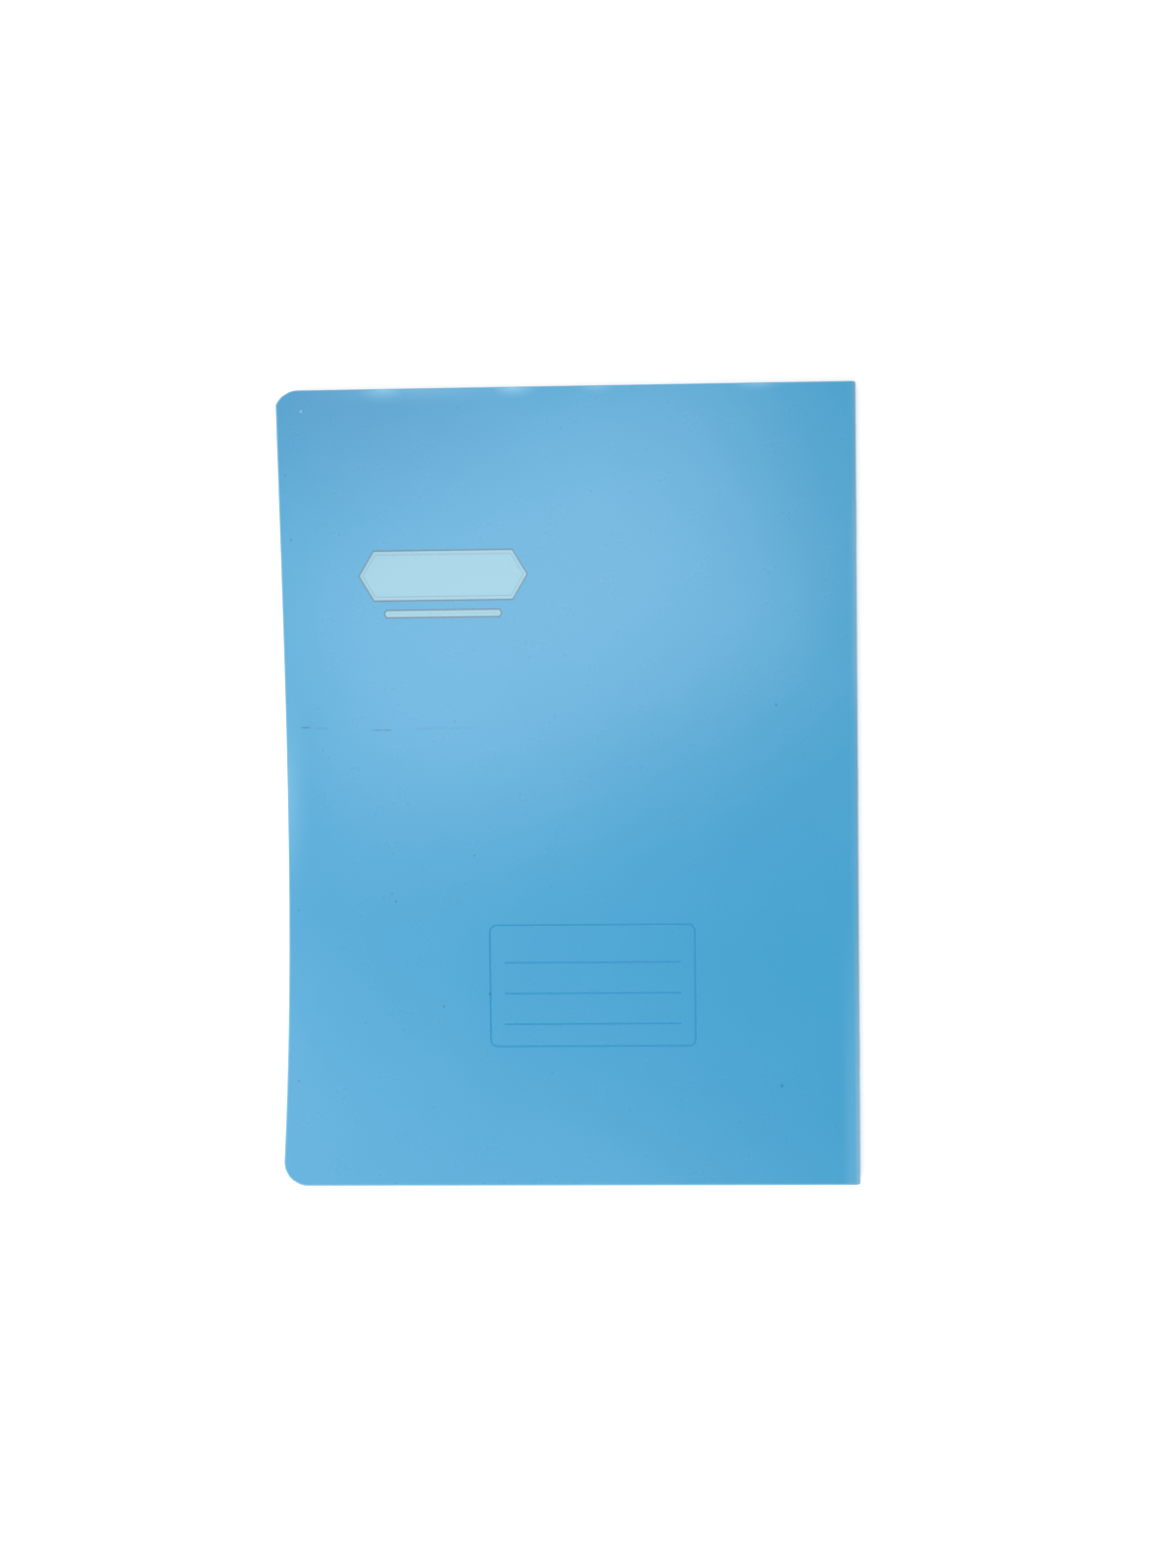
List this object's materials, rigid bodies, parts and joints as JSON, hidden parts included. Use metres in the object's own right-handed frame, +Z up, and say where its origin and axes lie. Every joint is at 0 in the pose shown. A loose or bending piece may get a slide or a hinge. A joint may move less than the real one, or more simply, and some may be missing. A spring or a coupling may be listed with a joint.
{
  "type": "stapled notebook",
  "caption": "Soft plastic-covered school notebook, stapled through a round fold, opening from right to left, with a blank ruled name panel on the front.",
  "frame": {"origin": "middle of the underside of the closed book's box, lying on its back cover", "axes": "+X from the fore edge to the fold, +Y to the head, +Z up out of the front cover"},
  "size_m": [0.2056, 0.2824, 0.006],
  "materials": {
    "cover_plastic": "satin",
    "paper": "matte",
    "staple_wire": "satin"
  },
  "bodies": {
    "root": {"back_cover": "cover_plastic", "cover_fold": "cover_plastic", "sheet_fold_1": "paper", "sheet_fold_2": "paper", "sheet_fold_3": "paper", "sheet_fold_4": "paper", "sheet_fold_5": "paper"},
    "staple_line": {"staple_1": "staple_wire", "staple_2": "staple_wire", "staple_3": "staple_wire"},
    "front_cover": {"front_cover": "cover_plastic"},
    "front_leaves_1": {"leaf_01": "paper", "leaf_02": "paper", "leaf_03": "paper", "leaf_04": "paper"},
    "back_leaves_1": {"leaf_40": "paper", "leaf_39": "paper", "leaf_38": "paper", "leaf_37": "paper"},
    "front_leaves_2": {"leaf_05": "paper", "leaf_06": "paper", "leaf_07": "paper", "leaf_08": "paper"},
    "back_leaves_2": {"leaf_36": "paper", "leaf_35": "paper", "leaf_34": "paper", "leaf_33": "paper"},
    "front_leaves_3": {"leaf_09": "paper", "leaf_10": "paper", "leaf_11": "paper", "leaf_12": "paper"},
    "back_leaves_3": {"leaf_32": "paper", "leaf_31": "paper", "leaf_30": "paper", "leaf_29": "paper"},
    "front_leaves_4": {"leaf_13": "paper", "leaf_14": "paper", "leaf_15": "paper", "leaf_16": "paper"},
    "back_leaves_4": {"leaf_28": "paper", "leaf_27": "paper", "leaf_26": "paper", "leaf_25": "paper"},
    "front_leaves_5": {"leaf_17": "paper", "leaf_18": "paper", "leaf_19": "paper", "leaf_20": "paper"},
    "back_leaves_5": {"leaf_24": "paper", "leaf_23": "paper", "leaf_22": "paper", "leaf_21": "paper"}
  },
  "joints": [
    {"name": "centre_opening", "type": "hinge", "parent": "root", "child": "front_leaves_1", "pos_m": [0.09921, 0, 0.00299], "axis": [0, 1, 0], "range_deg": [0, 180], "deforming": ["cover_fold", "sheet_fold_1", "sheet_fold_2", "sheet_fold_3", "sheet_fold_4", "sheet_fold_5"]},
    {"name": "front_cover_hinge", "type": "hinge", "parent": "front_leaves_1", "child": "front_cover", "pos_m": [0.09921, 0, 0.00613], "axis": [0, 1, 0], "range_deg": [0, 180]},
    {"name": "staple_line_turn", "type": "hinge", "parent": "root", "child": "staple_line", "pos_m": [0.09921, 0, 0.00299], "axis": [0, 1, 0], "range_deg": [0, 90]},
    {"name": "front_leaves_2_lift", "type": "hinge", "parent": "front_leaves_1", "child": "front_leaves_2", "pos_m": [0.09921, 0, 0.00299], "axis": [0, 1, 0], "range_deg": [-2.16, 0]},
    {"name": "front_leaves_3_lift", "type": "hinge", "parent": "front_leaves_1", "child": "front_leaves_3", "pos_m": [0.09921, 0, 0.00299], "axis": [0, 1, 0], "range_deg": [-5.4, 0]},
    {"name": "front_leaves_4_lift", "type": "hinge", "parent": "front_leaves_1", "child": "front_leaves_4", "pos_m": [0.09921, 0, 0.00299], "axis": [0, 1, 0], "range_deg": [-10.08, 0]},
    {"name": "front_leaves_5_lift", "type": "hinge", "parent": "front_leaves_1", "child": "front_leaves_5", "pos_m": [0.09921, 0, 0.00299], "axis": [0, 1, 0], "range_deg": [-17.1, 0]},
    {"name": "back_leaves_1_lift", "type": "hinge", "parent": "root", "child": "back_leaves_1", "pos_m": [0.09921, 0, 0.00299], "axis": [0, 1, 0], "range_deg": [0, 1.08]},
    {"name": "back_leaves_2_lift", "type": "hinge", "parent": "root", "child": "back_leaves_2", "pos_m": [0.09921, 0, 0.00299], "axis": [0, 1, 0], "range_deg": [0, 2.88]},
    {"name": "back_leaves_3_lift", "type": "hinge", "parent": "root", "child": "back_leaves_3", "pos_m": [0.09921, 0, 0.00299], "axis": [0, 1, 0], "range_deg": [0, 6.12]},
    {"name": "back_leaves_4_lift", "type": "hinge", "parent": "root", "child": "back_leaves_4", "pos_m": [0.09921, 0, 0.00299], "axis": [0, 1, 0], "range_deg": [0, 10.44]},
    {"name": "back_leaves_5_lift", "type": "hinge", "parent": "root", "child": "back_leaves_5", "pos_m": [0.09921, 0, 0.00299], "axis": [0, 1, 0], "range_deg": [0, 17.1]}
  ],
  "couplings": [
    {"joint": "staple_line_turn", "follows": "centre_opening", "ratio": 0.5},
    {"joint": "front_leaves_2_lift", "follows": "centre_opening", "ratio": -0.012},
    {"joint": "front_leaves_3_lift", "follows": "centre_opening", "ratio": -0.03},
    {"joint": "front_leaves_4_lift", "follows": "centre_opening", "ratio": -0.056},
    {"joint": "front_leaves_5_lift", "follows": "centre_opening", "ratio": -0.095},
    {"joint": "back_leaves_1_lift", "follows": "centre_opening", "ratio": 0.006},
    {"joint": "back_leaves_2_lift", "follows": "centre_opening", "ratio": 0.016},
    {"joint": "back_leaves_3_lift", "follows": "centre_opening", "ratio": 0.034},
    {"joint": "back_leaves_4_lift", "follows": "centre_opening", "ratio": 0.058},
    {"joint": "back_leaves_5_lift", "follows": "centre_opening", "ratio": 0.095}
  ]
}
